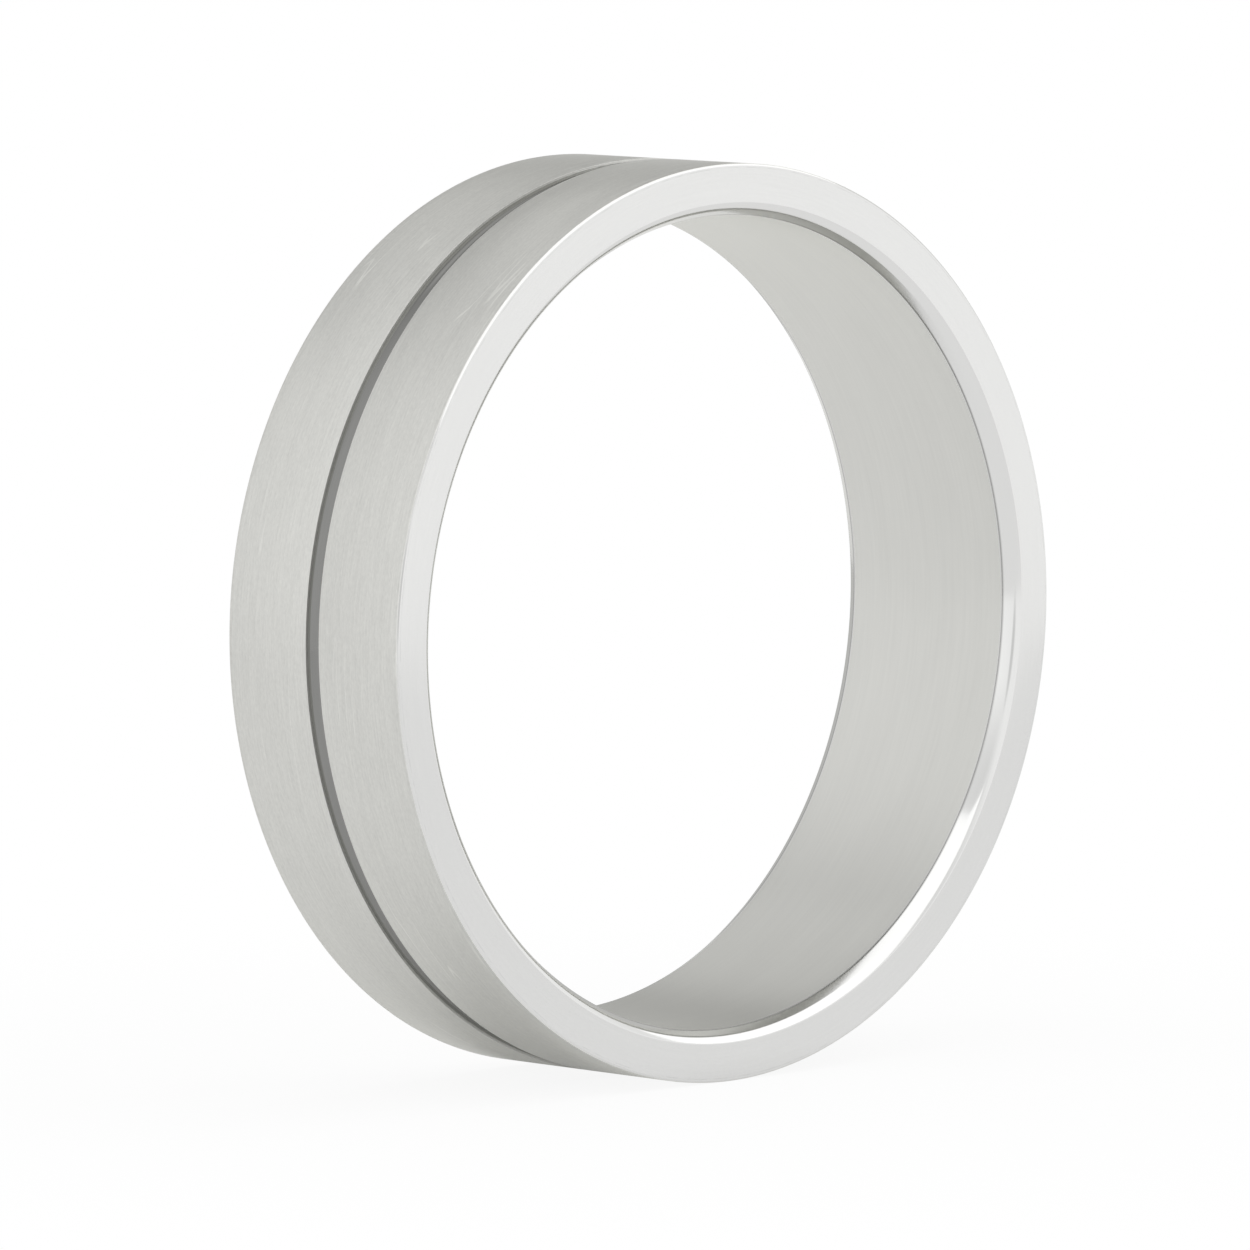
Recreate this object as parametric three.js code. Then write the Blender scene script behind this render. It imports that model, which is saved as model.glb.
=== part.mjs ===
// A comfort-fit wedding band in four turned rings, in millimetres.
// The band stands upright: its axis is Y, +Z is up, and the front face looks along -Y.
// The origin is the centre of the finger hole.
//
// How it is built: a thin inner sleeve with rounded lips runs the full width. Two brushed outer bands are
// pressed over it, one from each end, and they clamp a narrow centre ring between them. The centre ring is
// turned smaller than the bands, so it shows as the floor of a fine recessed line.
import * as THREE from "three";

// Driving dimensions
const BAND_WIDTH = 6.0;
const OUTER_DIAMETER = 22.8;
const FINGER_DIAMETER = 20.2;
const SLEEVE_WALL = 0.35; // thickness of the liner under the outer bands
const LIP_LENGTH = 0.4; // how far the rounded lip reaches into the finger hole
const LINE_WIDTH = 0.46; // the recessed line, from band to band
const LINE_DEPTH = 0.06; // how far the centre ring lies below the outer bands
const OUTER_EDGE_WIDTH = 0.05; // bevel at each outside edge of the band, along the axis
const OUTER_EDGE_HEIGHT = 0.05; // and the same bevel across the side face
const FINE_EDGE_BREAK = 0.03; // bevel at every other edge
const SEAM = 0.02; // clearance of each pressed joint
const ROUND_SEGMENTS = 96; // flats round each ring
const LIP_STEPS = 5; // flats across each lip

// Sizes that follow from them
const outerRadius = OUTER_DIAMETER / 2;
const fingerRadius = FINGER_DIAMETER / 2;
const seatRadius = fingerRadius + SLEEVE_WALL;
const halfWidth = BAND_WIDTH / 2;
const halfLine = LINE_WIDTH / 2;
const lipHeight = SLEEVE_WALL - FINE_EDGE_BREAK; // how far the lip rises from the bore to the flat end

// Turns a closed outline of [radius, distance along the axis] points into a ring about Y.
// The outline runs anticlockwise when radius is drawn to the right and the axis upwards.
function turnedRing(outline) {
  const points = outline.map(([radius, along]) => new THREE.Vector2(radius, along));
  points.push(points[0].clone());
  return new THREE.LatheGeometry(points, ROUND_SEGMENTS);
}

// The same outline turned end for end, kept anticlockwise.
function mirroredOutline(outline) {
  return outline.map(([radius, along]) => [radius, -along]).reverse();
}

// The quarter-ellipse of the rear lip, from the flat end of the sleeve down to the straight bore.
function lipCurve() {
  const curve = [];
  for (let step = 0; step <= LIP_STEPS; step += 1) {
    const angle = (step / LIP_STEPS) * (Math.PI / 2);
    const radius = fingerRadius + lipHeight * (1 - Math.sin(angle));
    const along = halfWidth - LIP_LENGTH * (1 - Math.cos(angle));
    curve.push([radius, along]);
  }
  return curve;
}

// The liner: a tube with a straight seat outside and a rounded lip at each end of its bore.
function innerSleeveOutline() {
  const bevelAlong = halfWidth - FINE_EDGE_BREAK;
  const rearLip = lipCurve();
  return [
    [seatRadius, -bevelAlong],
    [seatRadius, bevelAlong],
    ...rearLip,
    ...mirroredOutline(rearLip),
  ];
}

// One outer band: a square-cut ring, bevelled at its outside edge and relieved at the others.
function outerBandOutline() {
  const boreRadius = seatRadius + SEAM;
  return [
    [outerRadius - FINE_EDGE_BREAK, halfLine],
    [outerRadius, halfLine + FINE_EDGE_BREAK],
    [outerRadius, halfWidth - OUTER_EDGE_WIDTH],
    [outerRadius - OUTER_EDGE_HEIGHT, halfWidth],
    [boreRadius + FINE_EDGE_BREAK, halfWidth],
    [boreRadius, halfWidth - FINE_EDGE_BREAK],
    [boreRadius, halfLine],
  ];
}

// The spacer between the bands, whose outside is the floor of the line.
function centreRingOutline() {
  const innerRadius = seatRadius + SEAM;
  const floorRadius = outerRadius - LINE_DEPTH;
  const halfThickness = halfLine - SEAM;
  return [
    [innerRadius, -halfThickness],
    [floorRadius, -halfThickness],
    [floorRadius, halfThickness],
    [innerRadius, halfThickness],
  ];
}

const brushedWhiteMetal = new THREE.MeshStandardMaterial({
  color: 0xd2d2ce,
  roughness: 0.42,
  metalness: 1,
});
const polishedLiner = new THREE.MeshStandardMaterial({
  color: 0xdcdcd9,
  roughness: 0.22,
  metalness: 1,
});
const greyCentre = new THREE.MeshStandardMaterial({
  color: 0x8b8b89,
  roughness: 0.25,
  metalness: 1,
});

function piece(name, outline, material) {
  const mesh = new THREE.Mesh(turnedRing(outline), material);
  mesh.name = name;
  return mesh;
}

const band = new THREE.Group();
band.name = "wedding_band";
band.add(piece("inner_sleeve", innerSleeveOutline(), polishedLiner));
band.add(piece("centre_ring", centreRingOutline(), greyCentre));
band.add(piece("front_outer_band", mirroredOutline(outerBandOutline()), brushedWhiteMetal));
band.add(piece("rear_outer_band", outerBandOutline(), brushedWhiteMetal));

export default band;
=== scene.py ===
# %% [markdown]
# # A brushed wedding band
#
# The band is four turned rings: a thin liner that touches the finger, two brushed outer bands pressed over
# it, and a narrow grey ring clamped between them. The frame holds these four at their real size. Here each
# one is made again with its fine edges, and then finished as a goldsmith would finish it.

# %% Load the frame
import math
from collections import namedtuple

import bmesh
import bpy
from mathutils import Matrix, Vector


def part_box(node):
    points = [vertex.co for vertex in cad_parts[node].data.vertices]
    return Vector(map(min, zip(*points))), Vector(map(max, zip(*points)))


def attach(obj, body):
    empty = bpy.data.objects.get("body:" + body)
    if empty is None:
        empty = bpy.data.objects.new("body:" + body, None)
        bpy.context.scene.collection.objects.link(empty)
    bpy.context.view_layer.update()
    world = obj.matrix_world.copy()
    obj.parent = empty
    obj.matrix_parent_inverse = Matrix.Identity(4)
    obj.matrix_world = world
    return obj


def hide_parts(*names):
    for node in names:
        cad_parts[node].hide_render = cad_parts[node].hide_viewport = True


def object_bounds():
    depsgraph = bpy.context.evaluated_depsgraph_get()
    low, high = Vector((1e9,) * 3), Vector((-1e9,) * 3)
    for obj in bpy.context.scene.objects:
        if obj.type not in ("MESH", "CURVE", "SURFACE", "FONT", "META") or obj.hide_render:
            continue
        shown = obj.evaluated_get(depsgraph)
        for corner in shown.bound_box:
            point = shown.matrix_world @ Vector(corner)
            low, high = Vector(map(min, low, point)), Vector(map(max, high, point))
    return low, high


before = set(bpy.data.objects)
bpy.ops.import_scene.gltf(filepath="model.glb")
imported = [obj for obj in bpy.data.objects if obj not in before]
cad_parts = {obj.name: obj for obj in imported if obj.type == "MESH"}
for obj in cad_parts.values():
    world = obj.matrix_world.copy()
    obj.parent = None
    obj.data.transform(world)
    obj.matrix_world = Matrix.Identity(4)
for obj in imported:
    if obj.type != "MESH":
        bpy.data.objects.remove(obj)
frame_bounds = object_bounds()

# %% [markdown]
# ## Reading sizes from the frame
#
# Nothing is guessed that the frame already knows. A box gives the outside of a ring, and the vertex nearest
# the axis gives its hole. The bench unit is the millimetre, because the bevel tool loses accuracy on edges
# that are a few hundredths of a millimetre long when they are written in metres. The last step of each
# piece shrinks it to metres.

# %% Read the four rings
MM = 0.001


def hole_radius(node):
    """The smallest distance of a CAD ring's vertices from the band's axis, in millimetres."""
    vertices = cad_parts[node].data.vertices
    return min(math.hypot(vertex.co.x, vertex.co.z) for vertex in vertices) / MM


def outside_radius(node):
    """How far a CAD ring reaches from the band's axis, in millimetres."""
    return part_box(node)[1].x / MM


half_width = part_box("inner_sleeve")[1].y / MM
finger_radius = hole_radius("inner_sleeve")
seat_radius = outside_radius("inner_sleeve")
band_radius = outside_radius("rear_outer_band")
line_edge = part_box("rear_outer_band")[0].y / MM
centre_radius = outside_radius("centre_ring")
centre_bore_radius = hole_radius("centre_ring")
print(f"band {2 * band_radius:.2f} mm across, {2 * half_width:.2f} mm wide, hole {2 * finger_radius:.2f} mm")

# %% [markdown]
# ## The camera
#
# The band is seen from the front and a little above, turned so that its outside shows on the left and its
# bore on the right. A long lens from thirteen diameters away keeps the two rims almost the same size, as
# in a catalogue picture.

# %% Place the camera
CAMERA_TURN = math.radians(-44.64)
CAMERA_RISE = math.radians(5.42)
CAMERA_DISTANCE = 13.1  # in band diameters
CAMERA_AIM = (-0.0322, -0.0077)  # sideways and up from the centre of the hole, in band diameters
LENS = 345.8
SENSOR = 36.0
FARTHEST = 400  # in band diameters: beyond this the camera sees nothing

diameter = 2 * band_radius * MM
backwards = Vector((
    math.sin(CAMERA_TURN) * math.cos(CAMERA_RISE),
    -math.cos(CAMERA_TURN) * math.cos(CAMERA_RISE),
    math.sin(CAMERA_RISE),
))
sideways = Vector((math.cos(CAMERA_TURN), math.sin(CAMERA_TURN), 0))
upwards = backwards.cross(sideways)
aim = Vector((CAMERA_AIM[0], 0, CAMERA_AIM[1])) * diameter

camera_data = bpy.data.cameras.new("camera")
camera_data.lens = LENS
camera_data.sensor_width = SENSOR
camera_data.clip_start = diameter
camera_data.clip_end = FARTHEST * diameter
camera = bpy.data.objects.new("camera", camera_data)
bpy.context.scene.collection.objects.link(camera)
camera.matrix_world = Matrix.Translation(aim + backwards * CAMERA_DISTANCE * diameter) @ Matrix(
    (sideways, upwards, backwards)
).transposed().to_4x4()
bpy.context.scene.camera = camera
print(f"camera {CAMERA_DISTANCE * diameter:.3f} m from the band")

# %% [markdown]
# ## Turning a ring
#
# On the bench every one of these rings is cut on a lathe: a tool follows the section while the blank turns.
# Blender's spin does the same. A section starts as a square-cut face in the XY plane, with radius along X
# and the band's width along Y. Bevels round its corners while it is still flat, where one vertex stands
# for a whole edge of the ring, and then spin carries its outline once round the Y axis.

# %% The section
ARC_PROFILE = 0.5  # the bevel setting that gives a part of a circle
EDGE_STEPS = 4


def square_section(inner, outer, low, high):
    """A new bmesh with one rectangular face, from inner to outer radius and from low to high along Y."""
    section = bmesh.new()
    corners = ((inner, low), (outer, low), (outer, high), (inner, high))
    section.faces.new([section.verts.new((radius, along, 0)) for radius, along in corners])
    return section


def nearest_vertex(section, radius, along):
    """The section's vertex nearest a point."""
    target = Vector((radius, along, 0))
    return min(section.verts, key=lambda vertex: (vertex.co - target).length)


def round_corner(section, radius, along, height, length, segments):
    """Rounds the corner nearest a point, height across the radius and length along the band."""
    squash = height / length
    bmesh.ops.scale(section, verts=section.verts[:], vec=(1, squash, 1))
    made = bmesh.ops.bevel(
        section,
        geom=[nearest_vertex(section, radius, along * squash)],
        affect="VERTICES",
        offset=height,
        offset_type="OFFSET",
        segments=segments,
        profile=ARC_PROFILE,
        material=-1,
    )
    bmesh.ops.scale(section, verts=section.verts[:], vec=(1, 1 / squash, 1))
    return made["verts"]


def break_edge(section, radius, along, height, length, softness):
    """A flat bevel whose own two corners are rounded again, as a stone leaves them."""
    for vertex in round_corner(section, radius, along, height, length, 1):
        round_corner(section, vertex.co.x, vertex.co.y, softness, softness, EDGE_STEPS)


# %% The lathe
ROUND_STEPS = 400
SHARP_CORNER = math.radians(45)
MERGE_DISTANCE = 1e-5  # in millimetres
FLAT_WEIGHT = 100  # large flats decide the normals of the corners they share


def turn(section, name):
    """Spins the section's outline round Y and returns the ring as an object at the origin, in metres."""
    bmesh.ops.delete(section, geom=section.faces[:], context="FACES_ONLY")
    bmesh.ops.spin(
        section,
        geom=section.verts[:] + section.edges[:],
        cent=(0, 0, 0),
        axis=(0, 1, 0),
        angle=2 * math.pi,
        steps=ROUND_STEPS,
        use_merge=True,
    )
    bmesh.ops.remove_doubles(section, verts=section.verts[:], dist=MERGE_DISTANCE)
    bmesh.ops.recalc_face_normals(section, faces=section.faces[:])
    bmesh.ops.scale(section, verts=section.verts[:], vec=(MM, MM, MM))
    for face in section.faces:
        face.smooth = True
    mesh = bpy.data.meshes.new(name)
    section.to_mesh(mesh)
    section.free()
    mesh.set_sharp_from_angle(angle=SHARP_CORNER)
    ring = bpy.data.objects.new(name, mesh)
    bpy.context.scene.collection.objects.link(ring)
    weighting = ring.modifiers.new("flats stay flat", "WEIGHTED_NORMAL")
    weighting.mode = "FACE_AREA"
    weighting.weight = FLAT_WEIGHT
    weighting.keep_sharp = True
    print(name, len(mesh.polygons), "faces")
    return ring


# %% [markdown]
# ## The outer bands
#
# Each outer band is a flat-sided ring. A goldsmith breaks its outside edge with a few strokes of a fine
# stone, so the edge is a narrow bevel that catches the light as a thin line, and not a sharp corner. The
# edge along the recessed line is only just relieved. The front band is the rear one turned end for end, so
# one function makes both, with a sign for the side.

# %% Make the outer bands
EDGE_HEIGHT = 0.05
EDGE_LENGTH = 0.05
EDGE_SOFTNESS = 0.012
RIM_RELIEF = 0.003
RIM_STEPS = 3


def outer_band(name, side):
    """The outer band on the front side, -1, or the rear side, 1."""
    low, high = sorted((side * line_edge, side * half_width))
    section = square_section(seat_radius, band_radius, low, high)
    break_edge(section, band_radius, side * half_width, EDGE_HEIGHT, EDGE_LENGTH, EDGE_SOFTNESS)
    round_corner(section, band_radius, side * line_edge, RIM_RELIEF, RIM_RELIEF, RIM_STEPS)
    return turn(section, name)


front_band = outer_band("brushed_front_band", -1)
rear_band = outer_band("brushed_rear_band", 1)

# %% [markdown]
# ## The liner
#
# The liner's lips are comfort-fit. The lathe tool first opens each end of the bore by a few hundredths of a
# millimetre, in a long gentle flare. Then it takes two flats off the corner, and a burnisher rolls the edge
# between them round. Where the inner flat meets the bore the turn is tight, and that shows as a fine dark
# line, which a painted shade in the liner's colour darkens further. The joint with the outer bands is
# burnished flush, so the lip runs on into the side face.

# %% The shape of a lip
FLARE_HEIGHT = 0.06
FLARE_LENGTH = 1.30
FLARE_STEPS = 12
LIP_START = 0.02  # below the liner's outside, where the side face begins to turn in
LIP_ROLL = (0.18, 0.08)  # the rolled edge between the two flats: above the bore, and from the end
LIP_END = (0.02, 0.37)  # where the inner flat meets the bore
START_SOFTNESS = 0.015
ROLL_SOFTNESS = 0.09
CREASE_SOFTNESS = 0.04
LIP_STEPS = 6

lip_start = (seat_radius - LIP_START, 0.0)
lip_roll = (finger_radius + LIP_ROLL[0], LIP_ROLL[1])
lip_end = (finger_radius + LIP_END[0], LIP_END[1])
lip_corners = ((lip_start, START_SOFTNESS), (lip_roll, ROLL_SOFTNESS), (lip_end, CREASE_SOFTNESS))

# %% Make the liner


def cut_flat(section, first, second, side):
    """Cuts the corner off along a line between two points, each a radius and a distance from the end."""
    start = Vector((first[0], side * (half_width - first[1]), 0))
    end = Vector((second[0], side * (half_width - second[1]), 0))
    away = Vector((-abs(end.y - start.y), side * abs(end.x - start.x), 0))
    whole = section.verts[:] + section.edges[:] + section.faces[:]
    bmesh.ops.bisect_plane(section, geom=whole, plane_co=start, plane_no=away, clear_outer=True)


sleeve_section = square_section(finger_radius, seat_radius, -half_width, half_width)
for side in (-1, 1):
    round_corner(sleeve_section, finger_radius, side * half_width, FLARE_HEIGHT, FLARE_LENGTH, FLARE_STEPS)
for side in (-1, 1):
    cut_flat(sleeve_section, lip_roll, lip_end, side)
    cut_flat(sleeve_section, lip_start, lip_roll, side)
    for (radius, depth), softness in lip_corners:
        corner = nearest_vertex(sleeve_section, radius, side * (half_width - depth))
        round_corner(sleeve_section, corner.co.x, corner.co.y, softness, softness, LIP_STEPS)
liner = turn(sleeve_section, "comfort_liner")

# %% [markdown]
# ## The centre ring
#
# The grey ring is a plain spacer, turned a little smaller than the bands so that its outside becomes the
# floor of the line. It is squeezed between them and leaves only a hair of a seam on each side.

# %% Make the centre ring
SQUEEZED_GAP = 0.004

centre_edge = line_edge - SQUEEZED_GAP
centre_section = square_section(centre_bore_radius, centre_radius, -centre_edge, centre_edge)
for side in (-1, 1):
    round_corner(centre_section, centre_radius, side * centre_edge, RIM_RELIEF, RIM_RELIEF, RIM_STEPS)
centre = turn(centre_section, "grey_centre_ring")

# %% [markdown]
# ## A bench for materials
#
# Shader maths reads best as ordinary sums. A `Value` wraps one number socket, and each operator on it adds a
# Math node. Every other node comes from `Bench.node`, which takes the node's type, its settings, and what
# goes into its sockets.

# %% The bench


class Value:
    """A number socket that Python's operators work on."""

    def __init__(self, bench, socket):
        self.bench = bench
        self.socket = socket

    def maths(self, operation, first, second=0.0):
        node = self.bench.node("ShaderNodeMath", {"operation": operation}, {0: first, 1: second})
        return Value(self.bench, node.outputs[0])

    def __add__(self, other):
        return self.maths("ADD", self, other)

    def __radd__(self, other):
        return self.maths("ADD", other, self)

    def __sub__(self, other):
        return self.maths("SUBTRACT", self, other)

    def __rsub__(self, other):
        return self.maths("SUBTRACT", other, self)

    def __mul__(self, other):
        return self.maths("MULTIPLY", self, other)

    def __rmul__(self, other):
        return self.maths("MULTIPLY", other, self)

    def __pow__(self, other):
        return self.maths("POWER", self, other)

    def __abs__(self):
        return self.maths("ABSOLUTE", self)


class Bench:
    """Adds nodes to one node tree."""

    def __init__(self, tree):
        self.tree = tree
        self.tree.nodes.clear()

    def node(self, kind, settings=None, sockets=None):
        """Adds a node, sets its properties, and joins or sets its input sockets."""
        node = self.tree.nodes.new(kind)
        for key, value in (settings or {}).items():
            setattr(node, key, value)
        for key, value in (sockets or {}).items():
            if isinstance(value, Value):
                value = value.socket
            if isinstance(value, bpy.types.NodeSocket):
                self.tree.links.new(value, node.inputs[key])
            else:
                node.inputs[key].default_value = value
        return node

    def value(self, node, output=0):
        """One output of a node, ready for sums."""
        return Value(self, node.outputs[output])

    def ramp(self, value, low, high):
        """0 below low, 1 above high, and a smooth step between."""
        node = self.node(
            "ShaderNodeMapRange",
            {"interpolation_type": "SMOOTHSTEP", "clamp": True},
            {"Value": value, "From Min": low, "From Max": high},
        )
        return self.value(node, "Result")


def new_bench(name):
    """A new material and the bench that builds its nodes."""
    material = bpy.data.materials.new(name)
    material.use_nodes = True
    return material, Bench(material.node_tree)


def mix(low, high, share):
    """low where share is 0, high where it is 1."""
    return low + share * (high - low)


# %% [markdown]
# ## Marks that follow the lathe
#
# Every mark on a turned or brushed ring runs round it. A noise that changes fast along the width and the
# radius, and slowly along X and Z, makes such marks with no seam anywhere. It reads Object coordinates in
# millimetres, plus the distance from the axis as a fourth dimension, so the same marks run straight on over
# an edge and become circles on the side face.

# %% Coordinates and brush marks
SIDE_SLANT = 0.6  # how much a stroke leans along X for its lean along Z
HAIRLINE_CORE = 0.3  # the fully marked part of a hairline's thickness

Place = namedtuple("Place", "x y z radius")


def ring_coordinates(bench):
    """x, y, z and the distance from the axis, as values in millimetres."""
    place = bench.node("ShaderNodeTexCoord")
    parts = bench.node("ShaderNodeSeparateXYZ", {}, {0: place.outputs["Object"]})
    x, y, z = (bench.value(parts, axis) * (1 / MM) for axis in "XYZ")
    return Place(x, y, z, (x * x + z * z) ** 0.5)


def marks(bench, place, per_mm_round, per_mm_across, slant=0.0, detail=2.0, shift=0.0):
    """Noise from 0 to 1 in strokes that run round the ring, a little slanted."""
    stroke_y = place.y + slant * place.z + (SIDE_SLANT * slant) * place.x
    point = bench.node(
        "ShaderNodeCombineXYZ",
        {},
        {
            "X": place.x * per_mm_round + shift,
            "Y": stroke_y * per_mm_across,
            "Z": place.z * per_mm_round,
        },
    )
    noise = bench.node(
        "ShaderNodeTexNoise",
        {"noise_dimensions": "4D"},
        {"Vector": point.outputs[0], "W": place.radius * per_mm_across, "Scale": 1.0, "Detail": detail},
    )
    return bench.value(noise, "Fac")


def strokes(bench, place, **settings):
    """The same noise from -0.5 to 0.5, so that it lightens as much as it darkens."""
    return marks(bench, place, **settings) - 0.5


def hairlines(bench, noise, middle, thickness):
    """1 on the thin lines where the noise crosses a level, 0 elsewhere."""
    return 1 - bench.ramp(abs(noise - middle), HAIRLINE_CORE * thickness, thickness)


# %% [markdown]
# ## A metal surface
#
# All four rings share one kind of surface: a full metal whose colour, roughness and bump come from the
# marks. Brushing scatters light among its own scratches, so the satin parts look a touch warmer than the
# polished ones. At a glancing angle a white metal mirrors nearly everything, still faintly warm, and the
# grey metal stays grey.

# %% Metal
WHITE_EDGE_TINT = (0.97, 0.97, 0.945, 1.0)
GREY_EDGE_TINT = (0.6, 0.6, 0.585, 1.0)


def grey_to_colour(bench, colour, shade, warmth):
    """A colour multiplied by a value that varies over the surface, with some of its blue taken out."""
    tint = bench.node("ShaderNodeCombineColor", {}, {0: shade, 1: shade, 2: shade * (1 - warmth)})
    mixed = bench.node(
        "ShaderNodeMix",
        {"data_type": "RGBA", "blend_type": "MULTIPLY"},
        {0: 1.0, 6: (*colour, 1.0), 7: tint.outputs[0]},
    )
    return mixed.outputs[2]


def metal(bench, colour, edge_tint, shade, warmth, roughness, height, bump_mm):
    """A metal surface with its colour, roughness and bump from values, wired to the output."""
    bump = bench.node(
        "ShaderNodeBump",
        {},
        {"Strength": 1.0, "Distance": bump_mm * MM, "Height": height},
    )
    surface = bench.node(
        "ShaderNodeBsdfPrincipled",
        {},
        {
            "Base Color": grey_to_colour(bench, colour, shade, warmth),
            "Metallic": 1.0,
            "Roughness": roughness,
            "Specular Tint": edge_tint,
            "Normal": bump.outputs[0],
        },
    )
    bench.node("ShaderNodeOutputMaterial", {}, {"Surface": surface.outputs[0]})


# %% [markdown]
# ## The brushed finish
#
# The bands are drawn round by hand against fine abrasive. Most strokes are short, faint and nearly parallel,
# a few slant across the rest, and here and there one longer scratch is cut into the bump and painted
# lighter, a painted glint. The side face is polished smooth instead, like the lips. A ragged, slightly
# darker line is painted on either side of the bevel.

# %% Brushed white metal
WHITE_METAL = (0.66, 0.66, 0.652)
POLISH = 0.12  # the roughness of a polished surface
POLISH_SHADE = 1.05  # how much lighter the polish is than the satin
POLISH_MARKS = 0.2  # the share of the brush marks that polishing leaves
WARMTH = 0.028  # how much less blue the satin finish reflects than the polish
BRUSHED_ROUGHNESS = 0.37
BRUSHED_BUMP = 0.0012
SCRATCH_THICKNESS = 0.008
WALL_LINE_PLACE = 1.8 * EDGE_LENGTH
WALL_LINE_REACH = (0.01, 0.05)
FACE_LINE_PLACE = 1.9 * EDGE_HEIGHT
FACE_LINE_REACH = (0.004, 0.02)


def painted_dark_edge_lines(bench, place, end_depth, wall):
    """A ragged, slightly darker line painted beside the bevel, on the wall and on the side face."""
    ragged = bench.ramp(marks(bench, place, per_mm_round=3.0, per_mm_across=2.0, shift=9.0), 0.35, 0.65)
    rim_depth = band_radius - place.radius
    on_wall = 1 - bench.ramp(abs(end_depth - WALL_LINE_PLACE), *WALL_LINE_REACH)
    on_face = (1 - bench.ramp(abs(rim_depth - FACE_LINE_PLACE), *FACE_LINE_REACH)) * (1 - wall)
    return ragged * (0.06 * on_wall + 0.09 * on_face)


def brushed_white_metal():
    material, bench = new_bench("brushed_white_metal")
    place = ring_coordinates(bench)
    end_depth = half_width - abs(place.y)
    wall = bench.ramp(end_depth, 0.5 * EDGE_LENGTH, EDGE_LENGTH)

    long_strokes = strokes(bench, place, per_mm_round=0.45, per_mm_across=20.0, slant=0.008)
    short_strokes = strokes(bench, place, per_mm_round=1.6, per_mm_across=15.0, slant=-0.03, shift=7.0)
    grain = strokes(bench, place, per_mm_round=9.0, per_mm_across=20.0, shift=2.0)
    broad = strokes(bench, place, per_mm_round=0.3, per_mm_across=2.0, slant=0.02, shift=3.0)

    scratch_field = marks(
        bench, place, per_mm_round=0.08, per_mm_across=2.4, slant=0.05, detail=0.0, shift=11.0
    )
    scratch_places = marks(bench, place, per_mm_round=0.30, per_mm_across=0.8, shift=5.0)
    scratched = bench.ramp(scratch_places, 0.54, 0.60) * wall
    scratches_and_glints = hairlines(bench, scratch_field, 0.5, SCRATCH_THICKNESS) * scratched

    # painted glint: the scratches are painted lighter here, on top of their real cut in the bump below
    tone = 0.20 * long_strokes + 0.12 * short_strokes + 0.22 * grain + 0.06 * broad + 0.16 * scratches_and_glints
    shade = mix(POLISH_SHADE, 1.0, wall) + tone * mix(POLISH_MARKS, 1.0, wall)
    # a ragged darker line painted beside the bevel
    shade = shade - painted_dark_edge_lines(bench, place, end_depth, wall)
    satin = 0.16 * long_strokes + 0.12 * short_strokes
    roughness = mix(POLISH, BRUSHED_ROUGHNESS, wall) + wall * satin
    height = (long_strokes + short_strokes + 0.6 * grain - 0.5 * scratches_and_glints) * wall
    metal(bench, WHITE_METAL, WHITE_EDGE_TINT, shade, WARMTH * wall, roughness, height, BRUSHED_BUMP)
    return material


# %% [markdown]
# ## The liner's finish
#
# The bore is left a fine satin and the lips are polished as bright as the side face. The change happens
# where the inner flat ends, at a fixed distance from each end, so the distance from the end is the mask. A
# painted shade darkens the crease where the inner flat meets the bore.

# %% Satin bore, polished lips
BORE_ROUGHNESS = 0.33
BORE_BUMP = 0.0004
SATIN_FADE = 0.02  # over how far the polish turns to satin, in millimetres
# Painted shade in the crease between the inner flat and the bore: how dark it is, and how far it reaches.
PAINTED_CREASE_SHADE = 0.45
PAINTED_CREASE_REACH = 1.2 * CREASE_SOFTNESS


def liner_metal():
    material, bench = new_bench("liner_metal")
    place = ring_coordinates(bench)
    end_depth = half_width - abs(place.y)
    past_crease = LIP_END[1] + CREASE_SOFTNESS
    in_bore = bench.ramp(end_depth, past_crease, past_crease + SATIN_FADE)
    # painted shade along the crease where the inner flat meets the bore
    painted_crease_mask = 1 - bench.ramp(abs(end_depth - LIP_END[1]), 0.0, PAINTED_CREASE_REACH)
    fine = strokes(bench, place, per_mm_round=0.5, per_mm_across=14.0)
    broad = strokes(bench, place, per_mm_round=0.3, per_mm_across=0.8, shift=4.0)
    tone = (0.10 * fine + 0.06 * broad) * mix(POLISH_MARKS, 1.0, in_bore)
    shade = mix(POLISH_SHADE, 1.0, in_bore) + tone - PAINTED_CREASE_SHADE * painted_crease_mask
    roughness = mix(POLISH, BORE_ROUGHNESS, in_bore) + in_bore * (0.10 * fine)
    metal(bench, WHITE_METAL, WHITE_EDGE_TINT, shade, WARMTH * in_bore, roughness, fine * in_bore, BORE_BUMP)
    return material


# %% [markdown]
# ## The grey centre
#
# The centre ring is a darker metal, polished on the lathe, with faint turning rings. It shows as one grey
# line that grows lighter towards the top, where it mirrors the strip light. Its colour is darkened by a
# painted shade along the wall of the front band.

# %% Grey polished metal
GREY_METAL = (0.27, 0.27, 0.262)
GREY_ROUGHNESS = 0.11
GREY_BUMP = 0.0001
PAINTED_WALL_SHADE = 0.18
PAINTED_WALL_SHADE_REACH = 0.07  # how far the painted shade spreads from the wall, in millimetres


def grey_metal():
    material, bench = new_bench("grey_metal")
    place = ring_coordinates(bench)
    fine = strokes(bench, place, per_mm_round=0.5, per_mm_across=16.0)
    # painted shade: the grey floor is darkened against the wall of the front band
    painted_wall_shade_mask = bench.ramp(0 - place.y, line_edge - PAINTED_WALL_SHADE_REACH, line_edge)
    shade = 1.0 + 0.16 * fine - PAINTED_WALL_SHADE * painted_wall_shade_mask
    roughness = GREY_ROUGHNESS + 0.05 * fine
    metal(bench, GREY_METAL, GREY_EDGE_TINT, shade, 0.0, roughness, fine, GREY_BUMP)
    return material


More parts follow.
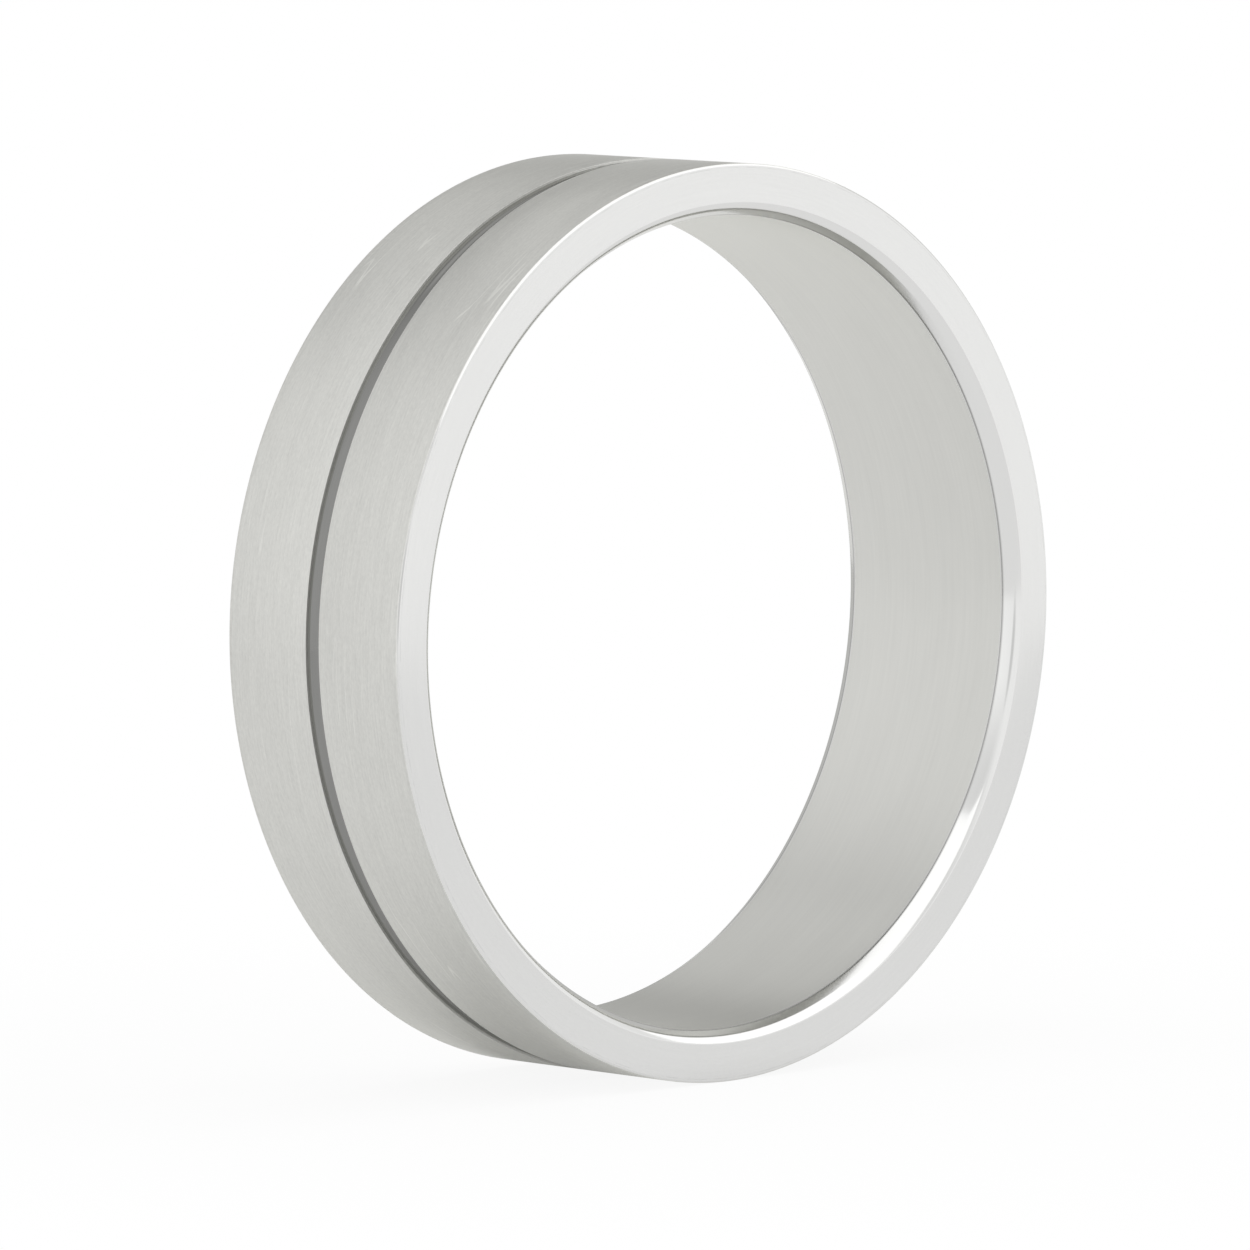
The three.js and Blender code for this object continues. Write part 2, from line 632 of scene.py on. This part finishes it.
# %% [markdown]
# ## Each ring and its finish
#
# Each finished ring takes one material, rides with the one body that the band is, and stands for the ring
# of the frame that it was made from.

# %% Give each ring its finish
brushed = brushed_white_metal()
finishes = (
    (front_band, "front_outer_band", brushed, "brushed_band"),
    (rear_band, "rear_outer_band", brushed, "brushed_band"),
    (liner, "inner_sleeve", liner_metal(), "liner"),
    (centre, "centre_ring", grey_metal(), "grey_centre"),
)
for ring, node, material, slot in finishes:
    ring.data.materials.append(material)
    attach(ring, "root")
    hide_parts(node)
    print(ring.name, "stands for", node)

# %% [markdown]
# ## The table
#
# A metal ring shows the room more than it shows itself. The table is a small round of white paper, and its
# edge is the horizon that the polished side face shows: dimmer paper in its lower half, brighter room in
# its upper half. To the camera the paper is nearly plain white, with only the band's soft shadow on it. In
# the metal it glows a little more than it is lit, most of all in front of the band.

# %% Lay the table
TABLE_RADIUS = 0.11
TABLE_STEPS = 96
PAPER = (0.80, 0.80, 0.80, 1)
WHITE = (1, 1, 1, 1)
OUTWARDS = (12.0, 36.0)  # from near the band to away from it, in millimetres
FRONT_EDGE = (0.0, 6.0)  # from the middle of the band to in front of it, in millimetres
SEEN_WHITE = (0.9, 1.0)  # the share of plain white that the camera sees, near and away
MIRRORED_WHITE = (0.28, 0.04)  # and the share that the metal mirrors
MIRRORED_WHITE_IN_FRONT = 0.95

table_mesh = bpy.data.meshes.new("table")
table_shape = bmesh.new()
bmesh.ops.create_circle(table_shape, cap_ends=True, segments=TABLE_STEPS, radius=TABLE_RADIUS)
bmesh.ops.translate(table_shape, verts=table_shape.verts[:], vec=(0, 0, frame_bounds[0][2]))
table_shape.to_mesh(table_mesh)
table_shape.free()
table = bpy.data.objects.new("table", table_mesh)
bpy.context.scene.collection.objects.link(table)

paper, bench = new_bench("white_paper")
place = ring_coordinates(bench)
away = bench.ramp((place.x * place.x + place.y * place.y) ** 0.5, *OUTWARDS)
in_front = bench.ramp(0 - place.y, *FRONT_EDGE)
rays = bench.node("ShaderNodeLightPath")
is_seen = bench.value(rays, "Is Camera Ray")
is_mirrored = bench.value(rays, "Is Glossy Ray")
mirrored_white = mix(mix(*MIRRORED_WHITE, away), MIRRORED_WHITE_IN_FRONT, in_front)
share = is_seen * mix(*SEEN_WHITE, away) + is_mirrored * mirrored_white
plain_white = bench.node("ShaderNodeEmission", {}, {"Color": WHITE, "Strength": 1.0})
lit_paper = bench.node("ShaderNodeBsdfDiffuse", {}, {"Color": PAPER})
surface = bench.node(
    "ShaderNodeMixShader", {}, {0: share, 1: lit_paper.outputs[0], 2: plain_white.outputs[0]}
)
bench.node("ShaderNodeOutputMaterial", {}, {"Surface": surface.outputs[0]})
table.data.materials.append(paper)
print(f"table {2 * TABLE_RADIUS:.2f} m across")

# %% [markdown]
# ## The room
#
# The room is a soft white tent, brightest in front and behind on the left, and dimmer behind on the right,
# which gives the brushed wall its slow change from light to grey. A thin strip light hangs behind and
# above, with the tent a little dimmer round it. The tent has a dimmer gap for the lens, which the lip
# mirrors as a soft grey line. To the camera the tent is plain white.

# %% Hang the tent
ROOM_BACK = 0.68
ROOM_LEFT_BACK = 0.27
ROOM_FRONT = 0.48
ROOM_RIGHT_BACK = -0.12
FRONT_FADE = 0.5  # the share that the front loses towards the top
FRONT_TOP = (0.2, 0.6)
LENS_GAP = math.radians(14)
LENS_CORE = 0.998  # the cosine of the angle inside which the gap is darkest
LENS_SHADE = 0.35
STRIP_LIGHT = 0.50
STRIP_SHADE = 0.16
STRIP_PLACE = 0.71  # how far back the strip hangs: the Y of its direction
STRIP_HALF_WIDTH = (0.02, 0.06)
STRIP_LEFT_END = (-0.05, 0.10)
STRIP_LOW_EDGE = (0.36, 0.56)

room = bpy.data.worlds.new("room")
bpy.context.scene.world = room
room.use_nodes = True
bench = Bench(room.node_tree)
direction = bench.node("ShaderNodeTexCoord")


def towards(aim, low, high):
    """A soft patch of the room round one direction, from low to high in the cosine of the angle."""
    facing = bench.node(
        "ShaderNodeVectorMath",
        {"operation": "DOT_PRODUCT"},
        {0: direction.outputs["Generated"], 1: Vector(aim).normalized()},
    )
    return bench.ramp(bench.value(facing, "Value"), low, high)


left_back = towards((-0.80, 0.60, 0.25), 0.5, 0.97)
front = towards((0.0, -1.0, 0.0), -0.65, 0.15)
right_back = towards((0.70, 0.70, 0.1), 0.7, 1.0)
lens_gap = towards(backwards, math.cos(LENS_GAP), LENS_CORE)
round_strip = towards((0.40, 0.71, 0.58), 0.88, 0.99)
parts = bench.node("ShaderNodeSeparateXYZ", {}, {0: direction.outputs["Generated"]})
x, y, z = (bench.value(parts, axis) for axis in "XYZ")
low_front = front * (1 - FRONT_FADE * bench.ramp(z, *FRONT_TOP))
strip = 1 - bench.ramp(abs(y - STRIP_PLACE), *STRIP_HALF_WIDTH)
strip = strip * bench.ramp(x, *STRIP_LEFT_END) * bench.ramp(z, *STRIP_LOW_EDGE)
level = ROOM_BACK + ROOM_LEFT_BACK * left_back + ROOM_FRONT * low_front + ROOM_RIGHT_BACK * right_back
level = level + STRIP_LIGHT * strip - STRIP_SHADE * round_strip - LENS_SHADE * lens_gap
tent = bench.node("ShaderNodeBackground", {}, {"Color": WHITE, "Strength": level})
backdrop = bench.node("ShaderNodeBackground", {}, {"Color": WHITE, "Strength": 1.0})
rays = bench.node("ShaderNodeLightPath")
seen = bench.node(
    "ShaderNodeMixShader",
    {},
    {0: rays.outputs["Is Camera Ray"], 1: tent.outputs[0], 2: backdrop.outputs[0]},
)
bench.node("ShaderNodeOutputWorld", {}, {"Surface": seen.outputs[0]})
print("room of", len(room.node_tree.nodes), "nodes")

# %% [markdown]
# ## The softbox
#
# One large softbox lies flat overhead, a little to the right and forward. The polished lip shows it as the
# white streak along the bottom of the bore. An area lamp's power is its radiance times its area and pi.

# %% Hang the softbox
SOFTBOX_HEIGHT = 0.30
SOFTBOX_SIZE = (2.8, 2.0)  # in heights, across and along
SOFTBOX_CENTRE = (0.55, -0.60)
SOFTBOX_RADIANCE = 0.55

softbox_data = bpy.data.lights.new("softbox", "AREA")
softbox_data.shape = "RECTANGLE"
softbox_data.size = SOFTBOX_SIZE[0] * SOFTBOX_HEIGHT
softbox_data.size_y = SOFTBOX_SIZE[1] * SOFTBOX_HEIGHT
softbox_data.energy = SOFTBOX_RADIANCE * math.pi * softbox_data.size * softbox_data.size_y
softbox = bpy.data.objects.new("softbox", softbox_data)
bpy.context.scene.collection.objects.link(softbox)
softbox.location = Vector((SOFTBOX_CENTRE[0], SOFTBOX_CENTRE[1], 1.0)) * SOFTBOX_HEIGHT
print(f"softbox {softbox_data.size:.2f} by {softbox_data.size_y:.2f} m, {softbox_data.energy:.2f} W")

# %% [markdown]
# ## Finish
#
# The picture is shown as it is lit, with no film look on top.

# %% Colour and the last line
bpy.context.scene.view_settings.view_transform = "Standard"
